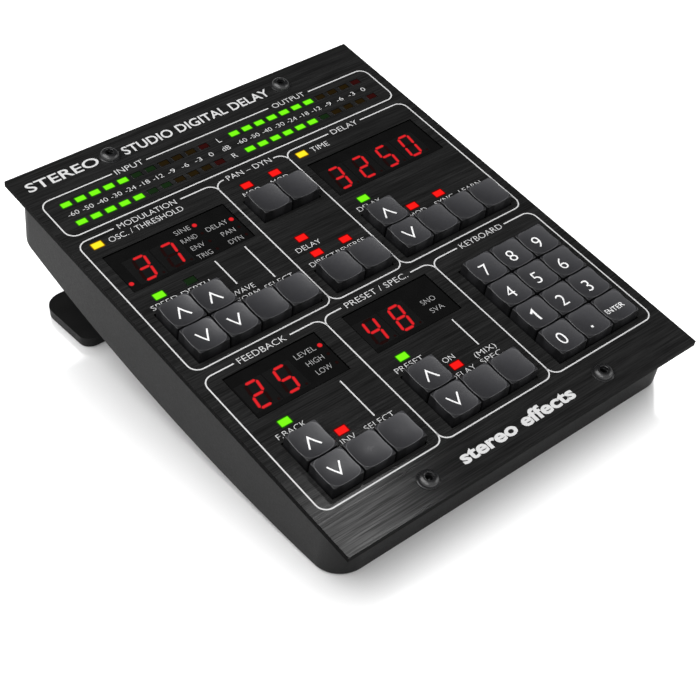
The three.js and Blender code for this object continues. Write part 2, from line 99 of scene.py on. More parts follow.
# ---------------------------------------------------------------- node materials
class Shader:
    """A material and short ways to add the nodes that feed its Principled BSDF."""

    def __init__(self, name, roughness=0.5, metallic=0.0, specular=0.5):
        self.material = bpy.data.materials.new(name)
        self.material.use_nodes = True
        self.tree = self.material.node_tree
        self.bsdf = self.tree.nodes["Principled BSDF"]
        self.put(self.bsdf, "Roughness", roughness)
        self.put(self.bsdf, "Metallic", metallic)
        self.put(self.bsdf, "Specular IOR Level", specular)

    def put(self, node, socket, value):
        if isinstance(value, bpy.types.NodeSocket):
            self.tree.links.new(value, node.inputs[socket])
        else:
            node.inputs[socket].default_value = value

    def place(self, scale=(1, 1, 1)):
        """Object coordinates in millimetres, stretched by scale."""
        source = self.tree.nodes.new("ShaderNodeTexCoord")
        mapping = self.tree.nodes.new("ShaderNodeMapping")
        self.put(mapping, "Vector", source.outputs["Object"])
        self.put(mapping, "Scale", [s / MM for s in scale])
        return mapping.outputs["Vector"]

    def noise(self, scale, detail=3.0, stretch=(1, 1, 1), roughness=0.55):
        node = self.tree.nodes.new("ShaderNodeTexNoise")
        self.put(node, "Vector", self.place(stretch))
        self.put(node, "Scale", scale)
        self.put(node, "Detail", detail)
        self.put(node, "Roughness", roughness)
        return node.outputs["Fac"]

    def ramp(self, fac, *stops):
        """Stops are (place, grey level or colour)."""
        node = self.tree.nodes.new("ShaderNodeValToRGB")
        self.put(node, "Fac", fac)
        elements = node.color_ramp.elements
        while len(elements) < len(stops):
            elements.new(0.5)
        for element, (where, value) in zip(elements, stops):
            element.position = where
            rgb = value if isinstance(value, tuple) else (value,) * 3
            element.color = (*rgb, 1)
        return node.outputs["Color"]

    def math(self, operation, a, b=0.0, c=0.0):
        node = self.tree.nodes.new("ShaderNodeMath")
        node.operation = operation
        for i, value in enumerate((a, b, c)):
            self.put(node, i, value)
        return node.outputs["Value"]

    def bump(self, height, distance, strength=1.0):
        node = self.tree.nodes.new("ShaderNodeBump")
        self.put(node, "Height", height)
        self.put(node, "Distance", distance * MM)
        self.put(node, "Strength", strength)
        self.put(self.bsdf, "Normal", node.outputs["Normal"])

    def vector_math(self, operation, a, b, output="Vector"):
        node = self.tree.nodes.new("ShaderNodeVectorMath")
        node.operation = operation
        self.put(node, 0, a)
        self.put(node, 1, b)
        return node.outputs[output]

    def from_axis(self):
        """The way out from the object's upright axis, and how far a surface faces that way."""
        source = self.tree.nodes.new("ShaderNodeTexCoord")
        flat = self.vector_math("MULTIPLY", source.outputs["Object"], (1, 1, 0))
        away = self.vector_math("NORMALIZE", flat, (0, 0, 0))
        return flat, self.vector_math("DOT_PRODUCT", away, source.outputs["Normal"], "Value")


def grey(level, blue=1.0):
    return (level, level, level * blue)


PANEL_TONE = 0.0135


def anodised_material():
    """Black anodised aluminium, its top brushed from left to right; its cut edges and other faces
    turned away from the top are darkened and dulled as painted shade.
    """
    look = Shader("anodised_black", metallic=0.1)
    fine = look.math("MULTIPLY_ADD", look.noise(1.0, 1.0, (0.09, 2.3, 2.3)), 0.5, look.math(
        "MULTIPLY", look.noise(1.0, 1.0, (0.06, 3.7, 3.7)), 0.5))
    broad = look.noise(1.0, 2.0, (0.006, 0.5, 0.5))
    mixed = look.math("MULTIPLY_ADD", broad, 0.4, look.math("MULTIPLY", fine, 0.6))
    # Painted shade: faces that turn away from the panel's top lose most of their colour and shine.
    normal = look.tree.nodes.new("ShaderNodeTexCoord").outputs["Normal"]
    upright = DECK.to_3x3().normalized() @ Vector((0, 0, 1))
    facing = look.vector_math("DOT_PRODUCT", normal, upright, "Value")
    top = look.ramp(facing, (0.75, 0.12), (0.97, 1.0))
    tone = look.ramp(mixed, (0.36, 0.5), (0.5, 1.0), (0.64, 1.7))
    look.put(look.bsdf, "Base Color", look.math("MULTIPLY", tone, look.math(
        "MULTIPLY", top, PANEL_TONE)))
    shine = look.ramp(fine, (0.40, 0.16), (0.60, 0.38))
    look.put(look.bsdf, "Specular IOR Level", look.math("MULTIPLY", shine, top))
    look.put(look.bsdf, "IOR", look.math("MULTIPLY_ADD", top, 0.5, 1.0))
    look.put(look.bsdf, "Roughness", look.ramp(broad, (0.3, 0.31), (0.7, 0.25)))
    look.put(look.bsdf, "Anisotropic", 0.6)
    direction = look.tree.nodes.new("ShaderNodeCombineXYZ")
    direction.inputs[0].default_value = 1
    look.put(look.bsdf, "Tangent", direction.outputs["Vector"])
    return look.material


DISH_RADIUS = 5.22          # from a key's middle to the dish's edge, straight ahead or aside
TONE_SPAN = 10              # millimetres that a tone map's colour ramp covers
# Painted highlight and shade on the keycaps, as shares of the full tone:
RIDGE_PAINTED_HIGHLIGHT = 1.6
SHOULDER_PAINTED_SHADE = 0.55
WALL_PAINTED_SHADE = 0.37
# Painted light at a key's middle, and the painted highlight added for each millimetre to the right
# or back:
MIDDLE_PAINTED_LIGHT = 1.12          # at a key's middle
PAINTED_LIGHT_SLOPE = 0.035          # added for each millimetre to the right or back
# Painted shade inside a screw's socket:
SOCKET_PAINTED_SHADE = 0.1
SOCKET_RADIUS = 1.18


def key_tone(look):
    """Painted light on a key: its dish at full tone, a painted highlight on the ridge round it and
    across the key towards the rear right, painted shade on its shoulders and walls.
    """
    flat, outward = look.from_axis()
    parts = look.tree.nodes.new("ShaderNodeSeparateXYZ")
    look.put(parts, "Vector", flat)
    fourth = [look.math("POWER", look.math("ABSOLUTE", parts.outputs[axis]), 4.0) for axis in "XY"]
    reach = look.math("POWER", look.math("ADD", *fourth), 0.25)
    edge = (DISH_RADIUS - 0.05) / TONE_SPAN
    ridge = look.ramp(
        look.math("DIVIDE", reach, TONE_SPAN * MM), (edge - 0.012, 1.0), (edge, RIDGE_PAINTED_HIGHLIGHT),
        (edge + 0.008, RIDGE_PAINTED_HIGHLIGHT), (edge + 0.02, SHOULDER_PAINTED_SHADE))
    # The painted ridge highlight and shoulder shade fade out towards the rear right corner.
    away = look.vector_math("NORMALIZE", flat, (0, 0, 0))
    corner = look.vector_math("DOT_PRODUCT", away, (0.707, 0.707, 0), "Value")
    fade = look.ramp(corner, (0.25, 0.0), (0.8, 1.0))
    ridge = look.math("ADD", look.math("MULTIPLY", ridge, look.math("SUBTRACT", 1.0, fade)), fade)
    # A painted highlight, brighter towards the rear right.
    slope = PAINTED_LIGHT_SLOPE / MM
    across = look.vector_math("DOT_PRODUCT", flat, (slope, slope, 0), "Value")
    painted_slope_light = look.math("ADD", across, MIDDLE_PAINTED_LIGHT)
    # Painted shade on the walls, the more they face outward.
    wall = look.ramp(outward, (0.4, 1.0), (0.8, WALL_PAINTED_SHADE))
    return look.math("MULTIPLY", look.math("MULTIPLY", ridge, painted_slope_light), wall)


def socket_tone(look):
    """A screw head at full tone, the inside of its socket darkened nearly black as painted shade.
    """
    flat, _ = look.from_axis()
    reach = look.vector_math("LENGTH", flat, (0, 0, 0), "Value")
    edge = SOCKET_RADIUS / TONE_SPAN
    return look.ramp(
        look.math("DIVIDE", reach, TONE_SPAN * MM), (edge, SOCKET_PAINTED_SHADE), (edge + 0.01, 1.0))


def plastic_material(name, level, roughness, grain, depth, specular=0.5, blue=1.0, painted_light_map=None):
    """Moulded plastic with a fine spark-eroded grain and a slight unevenness of tone, or
    black oxide.  painted_light_map, if given, paints highlight and shade: each place's share of the
    full tone."""
    look = Shader(name, specular=specular)
    tone = look.noise(0.12, 2.0)
    speckle = look.noise(grain, 4.0, roughness=0.7)
    mixed = look.math("MULTIPLY_ADD", speckle, 0.35, look.math("MULTIPLY", tone, 0.65))
    colour = look.ramp(mixed, (0.35, grey(level * 0.86, blue)), (0.65, grey(level * 1.16, blue)))
    # Painted highlight and shade scale the colour and the shine.
    if painted_light_map:
        share = painted_light_map(look)
        colour = look.vector_math("MULTIPLY", colour, share)
        look.put(look.bsdf, "Specular IOR Level", look.math("MULTIPLY", share, specular))
    look.put(look.bsdf, "Base Color", colour)
    look.put(look.bsdf, "Roughness", look.ramp(
        speckle, (0.3, roughness - 0.06), (0.7, roughness + 0.06)))
    look.bump(speckle, depth)
    return look.material


def metal_material(name, level, roughness, streaks):
    """Bare plating with faint turning marks."""
    look = Shader(name, metallic=1.0)
    turned = look.noise(streaks, 4.0, (1, 1, 0.25), 0.65)
    look.put(look.bsdf, "Base Color", look.ramp(
        turned, (0.3, grey(level * 0.8)), (0.7, grey(level * 1.15))))
    look.put(look.bsdf, "Roughness", look.ramp(
        turned, (0.3, roughness - 0.05), (0.7, roughness + 0.08)))
    look.bump(turned, 0.004)
    return look.material


def gloss_material(name, level, roughness):
    """Polished smoked acrylic, with faint unevenness in its shine."""
    look = Shader(name, specular=0.4)
    haze = look.noise(0.25, 3.0)
    look.put(look.bsdf, "Base Color", look.ramp(
        haze, (0.3, grey(level * 0.9)), (0.7, grey(level * 1.1))))
    look.put(look.bsdf, "Roughness", look.ramp(
        haze, (0.3, roughness * 0.85), (0.7, roughness * 1.2)))
    return look.material


def ink_material(name, level):
    """Screen-printed ink with a faint mottle."""
    look = Shader(name, roughness=0.5, specular=0.3)
    mottle = look.noise(5.0, 3.0)
    look.put(look.bsdf, "Base Color", look.ramp(
        mottle, (0.25, grey(level * 0.93)), (0.75, grey(level * 1.04))))
    look.bump(mottle, 0.004)
    return look.material


def board_material():
    """Green solder mask with a rougher pattern of tracks under it."""
    look = Shader("solder_mask", roughness=0.4)
    tracks = look.noise(0.9, 1.0, (1, 1, 0.2))
    look.put(look.bsdf, "Base Color", look.ramp(
        tracks, (0.47, (0.012, 0.05, 0.022)), (0.53, (0.02, 0.085, 0.035))))
    look.bump(tracks, 0.03)
    return look.material


def lamp_material(name, core, rim, strength, body=0.05):
    """A tinted lens whose "glow" attribute runs from 0 at its edge to 1 in its middle."""
    look = Shader(name, roughness=0.4, specular=0.12)
    glow = look.tree.nodes.new("ShaderNodeAttribute")
    glow.attribute_name = "glow"
    grain = look.noise(3.0, 2.0)
    level = look.math("MULTIPLY_ADD", grain, 0.12,
                      look.math("MULTIPLY", glow.outputs["Fac"], 0.94))
    faint = tuple(c * 0.22 for c in rim)
    colour = look.ramp(level, (0.05, (0, 0, 0)), (0.22, faint), (0.4, rim), (0.8, core))
    look.put(look.bsdf, "Base Color", (*[c * body for c in rim], 1))
    look.put(look.bsdf, "Emission Color", colour)
    look.put(look.bsdf, "Emission Strength", strength)
    return look.material


MATERIALS = {
    "anodised_panel": anodised_material(),
    "case_plastic": plastic_material("case_abs", 0.007, 0.50, 1.6, 0.02, 0.115),
    "keycap_plastic": plastic_material("keycap_abs", 0.030, 0.40, 4.0, 0.006, 0.8, 1.1, key_tone),
    "black_steel": plastic_material("black_oxide", 0.012, 0.24, 2.0, 0.001, 0.7, 1.05, socket_tone),
    "smoked_window": gloss_material("smoked_acrylic", 0.0055, 0.10),
    "display_block": plastic_material("display_epoxy", 0.006, 0.40, 3.0, 0.004, 0.16),
    "board": board_material(),
    "light_guide": gloss_material("light_guide", 0.10, 0.35),
    "plated_steel": metal_material("nickel_plate", 0.62, 0.24, 3.0),
    "foot_rubber": plastic_material("foot_rubber", 0.016, 0.82, 2.4, 0.05, 0.3),
}
INK = ink_material("panel_ink", 0.66)
LEGEND_INK = ink_material("legend_ink", 0.9)
DISPLAY_INK = ink_material("display_ink", 0.36)


# ---------------------------------------------------------------- mesh helpers
def finish_piece(name, bm, material, body, matrix=DECK, smooth=None):
    """Turns a closed bmesh into an object that rides a body.  smooth is the sharpest
    angle in degrees that is still shaded as a curve."""
    bmesh.ops.recalc_face_normals(bm, faces=bm.faces)
    mesh = bpy.data.meshes.new(name)
    bm.to_mesh(mesh)
    bm.free()
    mesh.transform(matrix)
    mesh.materials.append(material)
    if smooth:
        mesh.shade_smooth()
        mesh.set_sharp_from_angle(angle=math.radians(smooth))
    return place_piece(name, mesh, Matrix.Identity(4), body)


def place_piece(name, mesh, matrix, body):
    piece = bpy.data.objects.new(name, mesh)
    scene.collection.objects.link(piece)
    piece.matrix_world = matrix
    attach(piece, body)
    return piece


def add_loft(bm, loops):
    """Joins loops of equal length, lowest first, and closes both ends."""
    rings = [[bm.verts.new(p) for p in loop] for loop in loops]
    count = len(rings[0])
    for low, high in zip(rings, rings[1:]):
        for i in range(count):
            j = (i + 1) % count
            bm.faces.new((low[i], low[j], high[j], high[i]))
    bm.faces.new(rings[0][::-1])
    bm.faces.new(rings[-1])
    return rings


def rounded_loop(half_x, half_y, radius, z, corner=4, side=0, at=(0, 0)):
    """A rounded rectangle, anticlockwise; z is a number or a function of x and y."""
    quarter = math.pi / 2
    ends = []
    for k, (sx, sy) in enumerate(((1, 1), (-1, 1), (-1, -1), (1, -1))):
        for i in range(corner + 1):
            turn = quarter * (k + i / corner)
            ends.append((sx * (half_x - radius) + radius * math.cos(turn),
                         sy * (half_y - radius) + radius * math.sin(turn)))
    loop = []
    for n, (x, y) in enumerate(ends):
        loop.append((x, y))
        if n % (corner + 1) == corner:
            nx, ny = ends[(n + 1) % len(ends)]
            for i in range(1, side + 1):
                t = i / (side + 1)
                loop.append((x + (nx - x) * t, y + (ny - y) * t))
    level = z if callable(z) else (lambda x, y: z)
    return [(x + at[0], y + at[1], level(x, y)) for x, y in loop]


def add_prism(bm, outline, z0, z1):
    return add_loft(bm, [[(x, y, z0) for x, y in outline], [(x, y, z1) for x, y in outline]])


def add_ribbon(bm, path, width, z0, z1, closed=False):
    """A flat band of even width along a path, with mitred corners."""
    count = len(path)
    left, right = [], []
    for i, (x, y) in enumerate(path):
        before = path[i - 1] if i or closed else None
        after = path[(i + 1) % count] if i < count - 1 or closed else None
        steps = []
        if before:
            steps.append(Vector((x - before[0], y - before[1])).normalized())
        if after:
            steps.append(Vector((after[0] - x, after[1] - y)).normalized())
        along = sum(steps, Vector((0, 0))).normalized()
        across = Vector((-along.y, along.x))
        reach = width / 2 / max(0.3, across.dot(Vector((-steps[0].y, steps[0].x))))
        left.append((x + across.x * reach, y + across.y * reach))
        right.append((x - across.x * reach, y - across.y * reach))
    rails = [[bm.verts.new((px, py, z)) for px, py in edge]
             for edge in (left, right) for z in (z0, z1)]
    left_low, left_high, right_low, right_high = rails
    for i in range(count if closed else count - 1):
        j = (i + 1) % count
        bm.faces.new((left_high[i], left_high[j], right_high[j], right_high[i]))
        bm.faces.new((left_low[i], right_low[i], right_low[j], left_low[j]))
        bm.faces.new((left_low[i], left_low[j], left_high[j], left_high[i]))
        bm.faces.new((right_low[i], right_high[i], right_high[j], right_low[j]))
    if not closed:
        for i in (0, count - 1):
            bm.faces.new((left_low[i], left_high[i], right_high[i], right_low[i]))


FONT = bpy.data.fonts.load("<builtin>")


def text_points(words, weight):
    """Words as solid letters of unit size, made bolder or lighter by weight."""
    curve = bpy.data.curves.new("text", "FONT")
    curve.font = FONT
    curve.body = words
    curve.offset = weight
    curve.extrude = 0.5
    curve.resolution_u = 4
    holder = bpy.data.objects.new("text", curve)
    scene.collection.objects.link(holder)
    graph = bpy.context.evaluated_depsgraph_get()
    mesh = bpy.data.meshes.new_from_object(holder.evaluated_get(graph))
    bpy.data.objects.remove(holder)
    bpy.data.curves.remove(curve)
    return mesh


def letter_height(weight):
    """Foot and top of a capital letter of unit size."""
    mesh = text_points("H", weight)
    tall = [v.co.y for v in mesh.vertices]
    bpy.data.meshes.remove(mesh)
    return min(tall), max(tall)


HEIGHTS = {}


def add_text(bm, words, x, y, height, z0, z1, width=None, weight=0.0, align="centre"):
    """Printed words: capitals of that height on baseline y, fitted to width if given."""
    if weight not in HEIGHTS:
        HEIGHTS[weight] = letter_height(weight)
    base, top = HEIGHTS[weight]
    mesh = text_points(words, weight)
    tall = height / (top - base)
    low = min(v.co.x for v in mesh.vertices)
    high = max(v.co.x for v in mesh.vertices)
    wide = width / (high - low) if width else tall
    start = x - {"left": 0, "centre": 0.5, "right": 1}[align] * (high - low) * wide
    for v in mesh.vertices:
        v.co = (start + (v.co.x - low) * wide, y + (v.co.y - base) * tall,
                z0 + (v.co.z + 0.5) * (z1 - z0))
    part = bmesh.new()
    part.from_mesh(mesh)
    bmesh.ops.remove_doubles(part, verts=part.verts, dist=0.002)
    part.to_mesh(mesh)
    part.free()
    bm.from_mesh(mesh)
    bpy.data.meshes.remove(mesh)


# ---------------------------------------------------------------- key caps
KEYS = sorted(n for n in nodes if n.startswith("key_"))
first_low, first_high = deck_box(KEYS[0])
KEY_HALF = (first_high.x - first_low.x) / 2
KEY_RISE = first_high.z
KEY_TAIL = first_low.z
KEY_TOP_HALF = 5.28
KEY_SKIRT = -1.0            # the lower edge of a key's walls
KEY_CORNER = 0.5            # radius of its upright corners
RIM = 0.25                  # radius where its walls meet its top
KEY_HOLLOW, KEY_ROOF, KEY_STEM = 4.05, 1.8, 1.7
DISH_CORNER = DISH_RADIUS * 2**0.25
DISH_DEPTH = 1.0
DISH_CREASE = 0.02
RIDGE, RIDGE_WIDTH = 0.035, 0.16
SHOULDER = 0.2              # slope of the corners outside the dish
SHOULDER_BLEND = 0.1
KEY_PITCH = 11.1


def dish_reach(x, y):
    """Distance from a key's middle, measured so that equal values make a rounded square."""
    return (x**4 + y**4)**0.25


def dish(x, y):
    """How far the key top lies below the fine ridge that rings its dish."""
    inside = 1 - (math.hypot(x, y) / DISH_CORNER)**2
    outside = dish_reach(x, y) - DISH_RADIUS
    bowl = DISH_DEPTH * (inside + math.hypot(inside, DISH_CREASE)) / 2
    shoulder = SHOULDER * (outside + math.hypot(outside, SHOULDER_BLEND)) / 2
    return bowl + shoulder - RIDGE * math.exp(-(outside / RIDGE_WIDTH)**2)


def key_mesh():
    """A hollow keycap with a stem below and a dished top, about its own middle."""
    def square(half, radius, z):
        return rounded_loop(half, half, radius, z, corner=5, side=18)

    def wall(half, radius, z, share):
        return square(half, radius, lambda x, y: z - dish(x, y) * share)

    loops = [square(KEY_STEM, 0.15, KEY_TAIL), square(KEY_STEM, 0.2, KEY_ROOF),
             square(KEY_HOLLOW, 0.3, KEY_ROOF), square(KEY_HOLLOW, 0.3, KEY_SKIRT),
             square(KEY_HALF - 0.1, KEY_CORNER - 0.1, KEY_SKIRT),
             square(KEY_HALF, KEY_CORNER, KEY_SKIRT + 0.1), square(KEY_HALF, KEY_CORNER, 0)]
    shoulder = KEY_RISE - RIM
    for share in (0.25, 0.5, 0.75, 1.0):
        z = shoulder * share
        half = KEY_HALF + (KEY_TOP_HALF - KEY_HALF) * share
        loops.append(wall(half, KEY_CORNER, z, max(0.0, share - 0.4) / 0.6))
    for turn in (22.5, 45, 67.5, 90):
        inset = RIM * (1 - math.cos(math.radians(turn)))
        z = shoulder + RIM * math.sin(math.radians(turn))
        loops.append(wall(KEY_TOP_HALF - inset, KEY_CORNER - inset, z, 1.0))
    # Rings drawn in round the dish, so its edge is crisp, then shrinking to the middle.
    for step, offset in enumerate((0.36, 0.24, 0.15, 0.08, 0.02, -0.04, -0.11, -0.2, -0.32)):
        half = KEY_TOP_HALF - RIM - 0.02 * (step + 1)
        limit = DISH_RADIUS + offset
        ring = []
        for x, y, _ in square(half, KEY_CORNER - RIM, 0):
            pull = min(1.0, limit / dish_reach(x, y))
            ring.append((x * pull, y * pull, KEY_RISE - dish(x * pull, y * pull)))
        loops.append(ring)
    count = 12
    for i in range(1, count):
        share = 1 - i / count
        loops.append([(x * share, y * share, KEY_RISE - dish(x * share, y * share))
                      for x, y, _ in ring])
    bm = bmesh.new()
    add_loft(bm, loops)
    bmesh.ops.recalc_face_normals(bm, faces=bm.faces)
    mesh = bpy.data.meshes.new("keycap")
    bm.to_mesh(mesh)
    bm.free()
    mesh.transform(Matrix.Scale(MM, 4))
    mesh.materials.append(MATERIALS["keycap_plastic"])
    mesh.shade_smooth()
    mesh.set_sharp_from_angle(angle=math.radians(42))
    return mesh


LEGEND = (-0.02, 0.03)
LEGEND_STEP = 0.5           # legends are cut this fine, to follow the dish
ARROW = [(-2.05, -2.0), (0, 1.75), (2.05, -2.0)]
ARROW_AT, ARROW_STROKE = (0.1, -0.05), 0.52
ONE, ONE_STROKE = [(-1.3, 0.9), (-0.05, 1.85), (-0.05, -2.4)], 0.7
POINT = [(-0.7, -2.3), (0.1, -2.3), (0.1, -1.5), (-0.7, -1.5)]
DIGIT_NAMES = ["zero", "one", "two", "three", "four", "five", "six", "seven", "eight", "nine"]


def legend(key):
    """The white marking on a key, flat, in key coordinates; None on a blank key."""
    bm = bmesh.new()
    last = key.rsplit("_", 1)[1]
    if last in ("up", "down"):
        turn = 1 if last == "up" else -1
        path = [(x * turn + ARROW_AT[0], y * turn + ARROW_AT[1]) for x, y in ARROW]
        add_ribbon(bm, path, ARROW_STROKE, *LEGEND)
    elif last == "one":
        add_ribbon(bm, ONE, ONE_STROKE, *LEGEND)
    elif last in DIGIT_NAMES:
        add_text(bm, str(DIGIT_NAMES.index(last)), -0.3, -2.35, 4.4, *LEGEND, weight=-0.01)
    elif last == "point":
        add_prism(bm, POINT, *LEGEND)
    elif last == "enter":
        add_text(bm, "ENTER", -0.35, -1.3, 1.8, *LEGEND, width=7.4, weight=-0.004)
    else:
        bm.free()
        return None
    for axis in (Vector((1, 0, 0)), Vector((0, 1, 0))):
        for k in range(-8, 9):
            bmesh.ops.bisect_plane(
                bm, geom=bm.verts[:] + bm.edges[:] + bm.faces[:],
                plane_co=axis * (k * LEGEND_STEP), plane_no=axis)
    for v in bm.verts:
        v.co.z += KEY_RISE - dish(v.co.x, v.co.y)
    return bm


cap = key_mesh()
key_centre = {}
for key in KEYS:
    low, high = deck_box(key)
    middle = (low + high) / 2
    key_centre[key] = (middle.x, middle.y)
    here = DECK @ Matrix.Translation((middle.x, middle.y, 0))
    turned = here @ Matrix.Scale(1 / MM, 4)
    piece = place_piece("cap_" + key[4:], cap, turned, key)
    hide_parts(key)
    marks = legend(key)
    if marks:
        finish_piece("legend_" + key[4:], marks, LEGEND_INK, key, matrix=here)


# ---------------------------------------------------------------- panel print
print_bm = bmesh.new()
PRINT = (-0.01, 0.03)       # the ink's lower and upper face
LINE = 0.43
CORNER = 3.3
LABEL = 1.85                # height of a label's capitals
TITLE = 2.1                 # and of a heading's


def arc(cx, cy, start):
    """A quarter turn of frame corner from a start angle in degrees."""
    steps = 8
    return [(cx + CORNER * math.cos(math.radians(start + 90 * i / steps)),
             cy + CORNER * math.sin(math.radians(start + 90 * i / steps)))
            for i in range(steps + 1)]


def frame_line(x0, y0, x1, y1, gaps, left=True):
    """A section frame with gaps in its top line.  left is False where the frame on its
    left already draws their common side."""
    inner = (x0 + CORNER, y0 + CORNER, x1 - CORNER, y1 - CORNER)
    top_left, bottom_left = arc(inner[0], inner[3], 90), arc(inner[0], inner[1], 180)
    bottom_right, top_right = arc(inner[2], inner[1], 270), arc(inner[2], inner[3], 0)
    first = [(gaps[0][0], y1)] + top_left
    last = bottom_left + bottom_right + top_right + [(gaps[-1][1], y1)]
    if left:
        add_ribbon(print_bm, first + last, LINE, *PRINT)
    else:
        add_ribbon(print_bm, first, LINE, *PRINT)
        add_ribbon(print_bm, last, LINE, *PRINT)
    for (_, start), (end, _) in zip(gaps, gaps[1:]):
        add_ribbon(print_bm, [(start, y1), (end, y1)], LINE, *PRINT)


LEFT, RIGHT = 3.3, 131.6
frame_line(LEFT, 135.6, RIGHT, 153.1, [(29.5, 42.3), (90.7, 107.5)])
frame_line(LEFT, 72.3, 53.5, 132.45, [(16.5, 40.9)])
frame_line(53.5, 72.3, 81.2, 132.45, [(57.4, 77.0)], left=False)
frame_line(81.2, 72.3, RIGHT, 132.45, [(99.7, 113.3)], left=False)
frame_line(LEFT, 14.5, 46.0, 69.1, [(14.6, 34.6)])
frame_line(46.0, 14.5, 88.8, 69.1, [(53.7, 80.8)], left=False)
frame_line(88.8, 14.5, RIGHT, 69.1, [(100.0, 120.2)], left=False)
for x, y0, y1 in ((34.0, 93.7, 104.9), (45.2, 89.8, 105.0), (35.7, 32.3, 47.4),
                  (78.5, 35.7, 47.5)):
    add_ribbon(print_bm, [(x, y0), (x, y1)], LINE, *PRINT)


def say(words, x, y, height, width=None, weight=-0.012, align="centre"):
    add_text(print_bm, words, x, y, height, *PRINT, width=width, weight=weight, align=align)


# Words in the frames' top lines.
for words, x, y, width in (
        ("INPUT", 35.8, 152.0, 10.2), ("OUTPUT", 99.1, 152.0, 13.2),
        ("MODULATION", 28.5, 131.35, 21.0), ("PAN – DYN", 67.2, 131.35, 17.2),
        ("DELAY", 106.4, 131.35, 10.8), ("FEEDBACK", 24.4, 68.0, 16.8),
        ("PRESET / SPEC.", 67.2, 68.0, 23.9), ("KEYBOARD", 110.1, 68.0, 17.5)):
    say(words, x, y, TITLE, width)
say("OSC. / THRESHOLD", 12.6, 127.85, TITLE, 26.6, align="left")
say("TIME", 89.9, 127.95, TITLE, 7.0, align="left")

# Words behind the keys they name, one line or two.
LABEL_BEHIND = 6.85
LINE_PITCH = 2.95
for key, width, *lines in (
        ("modulation_speed_up", 9.2, "SPEED"), ("modulation_depth_up", 10.0, "DEPTH"),
        ("modulation_waveform", 7.9, "FORM", "WAVE"), ("modulation_select", 10.4, "SELECT"),
        ("pan_dyn_pan_mod", 6.7, "MOD"), ("pan_dyn_dyn_mod", 6.7, "MOD"),
        ("output_direct", 9.6, "DIRECT"), ("output_reverse", 11.0, "REVERSE"),
        ("delay_up", 9.2, "DELAY"), ("delay_mod", 6.7, "MOD"), ("delay_sync", 7.8, "SYNC"),
        ("delay_learn", 9.2, "LEARN"), ("feedback_up", 9.9, "F.BACK"),
        ("feedback_invert", 5.0, "INV"), ("feedback_select", 10.4, "SELECT"),
        ("preset_up", 10.3, "PRESET"), ("preset_delay_on", 9.2, "DELAY"),
        ("preset_special", 8.0, "SPEC", "(MIX)")):
    x, y = key_centre["key_" + key]
    for n, words in enumerate(lines):
        say(words, x - 0.3, y + LABEL_BEHIND + n * LINE_PITCH, LABEL, width)
say("DELAY", 61.7, 93.85, LABEL, 9.1)
say("ON", 67.2, 35.6, LABEL, 4.1)

# Meter scale, between the two rows of each meter.
METER_SCALE = ["-60", "-50", "-40", "-30", "-24", "-18", "-12", "-9", "-6", "-3", "0"]
METER_PITCH = 5.12
METER_ROWS = (140.0, 148.8)
METER_START = {"input": 10.2, "output": 73.5}
for start in METER_START.values():
    for n, words in enumerate(METER_SCALE):
        say(words, start + n * METER_PITCH - 0.2, 143.55, 1.7, 1.15 * len(words) + 0.4)
say("L", 67.3, 147.6, TITLE)
say("dB", 67.0, 143.35, 2.0)
say("R", 67.3, 139.0, TITLE)

# Headings: generic words stand in for the maker's and the model's names.
HEAVY = 0.012
say("STEREO", 16.6, 158.9, 3.9, 25.6, weight=HEAVY)
say("STUDIO DIGITAL DELAY", 67.0, 158.2, 3.7, 57.6, weight=HEAVY)
say("stereo effects", 67.2, 5.0, 4.5, 43.6, weight=0.034)
finish_piece("panel_print", print_bm, INK, "chassis")


# ---------------------------------------------------------------- lamps
GREEN = ((0.20, 1.0, 0.008), (0.09, 0.62, 0.004))
RED = ((1.0, 0.010, 0.008), (0.60, 0.003, 0.003))
YELLOW = ((1.0, 0.86, 0.02), (0.80, 0.42, 0.004))
LAMPS = {
    "green": lamp_material("lamp_green", *GREEN, 1.05),
    "red": lamp_material("lamp_red", *RED, 1.05),
    "yellow": lamp_material("lamp_yellow", *YELLOW, 1.05),
    # The unlit lenses glow faintly: painted light standing in for their tint under the room's
    # light.
    "green_off": lamp_material("lamp_green_off", (0.01, 0.034, 0.008), (0.008, 0.018, 0.007), 0.6),
    "amber_off": lamp_material("lamp_amber_off", (0.03, 0.017, 0.002), (0.015, 0.008, 0.002), 0.5),
    "red_off": lamp_material("lamp_red_off", (0.055, 0.005, 0.004), (0.03, 0.003, 0.003), 0.5),
}
LENS_TOP = 0.03
LENS_FOOT = -0.115
HALO = 0.34
METER_LENS = (1.66, 1.01)
INDICATOR_LENS = (1.81, 1.21)


def lamp_piece(name, places, half_x, half_y, colour, halo=True):
    """Lenses with softened edges; "glow" on their points also fades out over a thin halo
    on the panel, as if light crept under the print."""
    bm = bmesh.new()
    layer = bm.verts.layers.float.new("glow")
    for at in places:
        def loop(inset, z):
            return rounded_loop(half_x - inset, half_y - inset, max(0.1, 0.22 - inset), z, 3,
                                at=at)

        loops = [(loop(0, LENS_FOOT), 0.35), (loop(0, 0.001), 0.35)]
        if halo:
            loops += [(loop(-HALO, 0.002), 0.0), (loop(-HALO, 0.008), 0.0),
                      (loop(-HALO / 2, 0.01), 0.08), (loop(0.02, 0.012), 0.2)]
        loops += [(loop(0.03, LENS_TOP - 0.01), 0.4), (loop(0.08, LENS_TOP), 0.45),
                  (loop(0.45, LENS_TOP + 0.01), 1.0)]
        rings = add_loft(bm, [points for points, _ in loops])
        for ring, (_, glow) in zip(rings, loops):
            for vert in ring:
                vert[layer] = glow
    finish_piece(name, bm, LAMPS[colour], "chassis")


